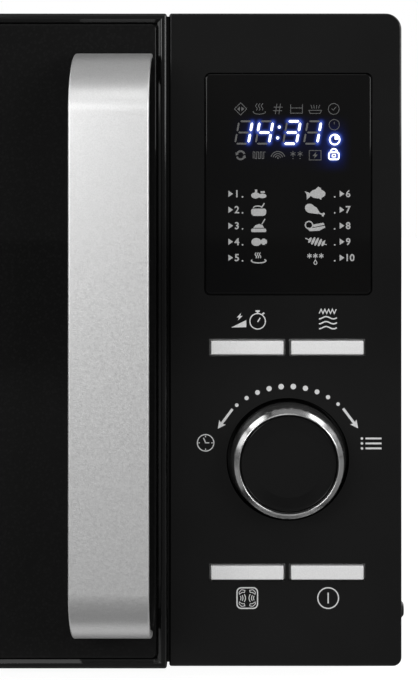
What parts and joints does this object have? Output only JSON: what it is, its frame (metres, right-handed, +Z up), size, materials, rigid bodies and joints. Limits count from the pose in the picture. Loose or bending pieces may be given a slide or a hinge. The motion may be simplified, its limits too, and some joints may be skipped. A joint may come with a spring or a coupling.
{
  "type": "microwave oven",
  "caption": "Countertop microwave oven with grill, side-hung black glass door with a bowed silver handle, display, bar buttons and a rotary knob.",
  "frame": {"origin": "bottom centre of the whole oven's box, on the surface that the feet stand on", "axes": "+X to the right as a user faces the oven, -Y out of its front, +Z up"},
  "size_m": [0.4956, 0.41, 0.287],
  "materials": {
    "gloss_black_plastic": "glossy black moulded plastic",
    "matt_black_plastic": "fine matt texture",
    "black_glass": "opaque black back-painted toughened glass, polished",
    "smoked_lens": "dark tinted acrylic",
    "black_painted_steel": "fine powder coat",
    "silver_painted_plastic": "satin silver metallic paint",
    "chrome_ring": "polished",
    "galvanised_steel": "zinc spangle",
    "cavity_enamel": "grey speckled enamel",
    "clear_glass": "clear",
    "mica": "pressed mica flakes",
    "transformer_steel": "stacked laminations",
    "copper_winding": "varnished wire",
    "aluminium_can": "drawn can",
    "circuit_board": "solder mask",
    "white_nylon": "natural nylon",
    "heater_sheath": "heat-stained steel tube",
    "black_rubber": "matt",
    "zinc_screw": "zinc plate",
    "printed_marks": "light grey screen print",
    "display_light": "lit blue-white display segments"
  },
  "bodies": {
    "cabinet": {"outer_wrapper": "black_painted_steel", "base_plate": "galvanised_steel", "back_plate": "galvanised_steel", "front_frame": "black_painted_steel", "cavity_liner": "cavity_enamel", "side_screw_left": "zinc_screw", "side_screw_right": "zinc_screw", "back_screw_left": "zinc_screw", "back_screw_middle": "zinc_screw", "back_screw_right": "zinc_screw", "foot_front_left": "black_rubber", "foot_front_right": "black_rubber", "foot_rear_left": "black_rubber", "foot_rear_right": "black_rubber", "rear_spacer": "matt_black_plastic", "cord_gland": "black_rubber", "waveguide": "galvanised_steel", "waveguide_cover": "mica", "magnetron": "galvanised_steel", "transformer_core": "transformer_steel", "transformer_coil": "copper_winding", "hv_capacitor": "aluminium_can", "fan_duct": "matt_black_plastic", "fan_motor": "transformer_steel", "cavity_lamp": "white_nylon", "noise_filter": "circuit_board", "grill_heater": "heater_sheath", "hinge_lower": "galvanised_steel", "hinge_upper": "galvanised_steel", "latch_board": "white_nylon", "door_switch_lower": "matt_black_plastic", "door_switch_upper": "matt_black_plastic", "control_panel": "gloss_black_plastic", "display_window": "smoked_lens", "encoder": "aluminium_can", "control_board": "circuit_board", "display_module": "matt_black_plastic", "turntable_motor": "aluminium_can"},
    "door": {"door_frame": "gloss_black_plastic", "door_glass": "black_glass", "door_choke": "black_painted_steel", "choke_cover": "matt_black_plastic", "inner_window": "clear_glass", "handle_strip": "silver_painted_plastic", "handle_core": "matt_black_plastic"},
    "latch": {"door_key": "white_nylon"},
    "knob": {"knob": "matt_black_plastic", "knob_ring": "chrome_ring", "encoder_shaft": "galvanised_steel"},
    "power_button": {"button_power": "silver_painted_plastic"},
    "grill_button": {"button_grill": "silver_painted_plastic"},
    "stop_button": {"button_stop": "silver_painted_plastic"},
    "start_button": {"button_start": "silver_painted_plastic"},
    "turntable_drive": {"coupler": "white_nylon"},
    "tray": {"turntable_tray": "clear_glass"},
    "roller_ring": {"roller_ring": "white_nylon"},
    "roller_1": {"roller_1": "white_nylon"},
    "roller_2": {"roller_2": "white_nylon"},
    "roller_3": {"roller_3": "white_nylon"},
    "fan": {"fan_blade": "matt_black_plastic"}
  },
  "joints": [
    {"name": "door_hinge", "type": "hinge", "parent": "cabinet", "child": "door", "pos_m": [-0.2335, -0.1525, 0.1484], "axis": [0, 0, -1], "range_deg": [0, 105]},
    {"name": "latch_slide", "type": "slide", "parent": "door", "child": "latch", "axis": [0, 0, 1], "range_m": [0, 0.0045], "stiffness_N_per_m": 400, "springref_m": -0.002},
    {"name": "knob_turn", "type": "hinge", "parent": "cabinet", "child": "knob", "pos_m": [0.1942, -0.1645, 0.09785], "axis": [0, -1, 0], "continuous": true},
    {"name": "power_press", "type": "slide", "parent": "cabinet", "child": "power_button", "axis": [0, 1, 0], "range_m": [0, 0.0012], "stiffness_N_per_m": 1200, "springref_m": -0.0005},
    {"name": "grill_press", "type": "slide", "parent": "cabinet", "child": "grill_button", "axis": [0, 1, 0], "range_m": [0, 0.0012], "stiffness_N_per_m": 1200, "springref_m": -0.0005},
    {"name": "stop_press", "type": "slide", "parent": "cabinet", "child": "stop_button", "axis": [0, 1, 0], "range_m": [0, 0.0012], "stiffness_N_per_m": 1200, "springref_m": -0.0005},
    {"name": "start_press", "type": "slide", "parent": "cabinet", "child": "start_button", "axis": [0, 1, 0], "range_m": [0, 0.0012], "stiffness_N_per_m": 1200, "springref_m": -0.0005},
    {"name": "turntable_turn", "type": "hinge", "parent": "cabinet", "child": "turntable_drive", "pos_m": [-0.047, 0.0235, 0.044], "axis": [0, 0, 1], "continuous": true},
    {"name": "tray_lift", "type": "slide", "parent": "turntable_drive", "child": "tray", "axis": [0, 0, 1], "range_m": [0, 0.04]},
    {"name": "ring_turn", "type": "hinge", "parent": "cabinet", "child": "roller_ring", "pos_m": [-0.047, 0.0235, 0.048], "axis": [0, 0, 1], "continuous": true},
    {"name": "roller_1_spin", "type": "hinge", "parent": "roller_ring", "child": "roller_1", "pos_m": [-0.047, 0.119, 0.048], "axis": [0, 1, 0], "continuous": true},
    {"name": "roller_2_spin", "type": "hinge", "parent": "roller_ring", "child": "roller_2", "pos_m": [-0.1297, -0.02425, 0.048], "axis": [-0.866, -0.5, 0], "continuous": true},
    {"name": "roller_3_spin", "type": "hinge", "parent": "roller_ring", "child": "roller_3", "pos_m": [0.03571, -0.02425, 0.048], "axis": [0.866, -0.5, 0], "continuous": true},
    {"name": "fan_spin", "type": "hinge", "parent": "cabinet", "child": "fan", "pos_m": [0.182, 0.1395, 0.165], "axis": [0, 1, 0], "continuous": true}
  ],
  "couplings": [
    {"joint": "ring_turn", "follows": "turntable_turn", "ratio": 0.5},
    {"joint": "roller_1_spin", "follows": "turntable_turn", "ratio": -6.2013},
    {"joint": "roller_2_spin", "follows": "turntable_turn", "ratio": -6.2013},
    {"joint": "roller_3_spin", "follows": "turntable_turn", "ratio": -6.2013}
  ]
}
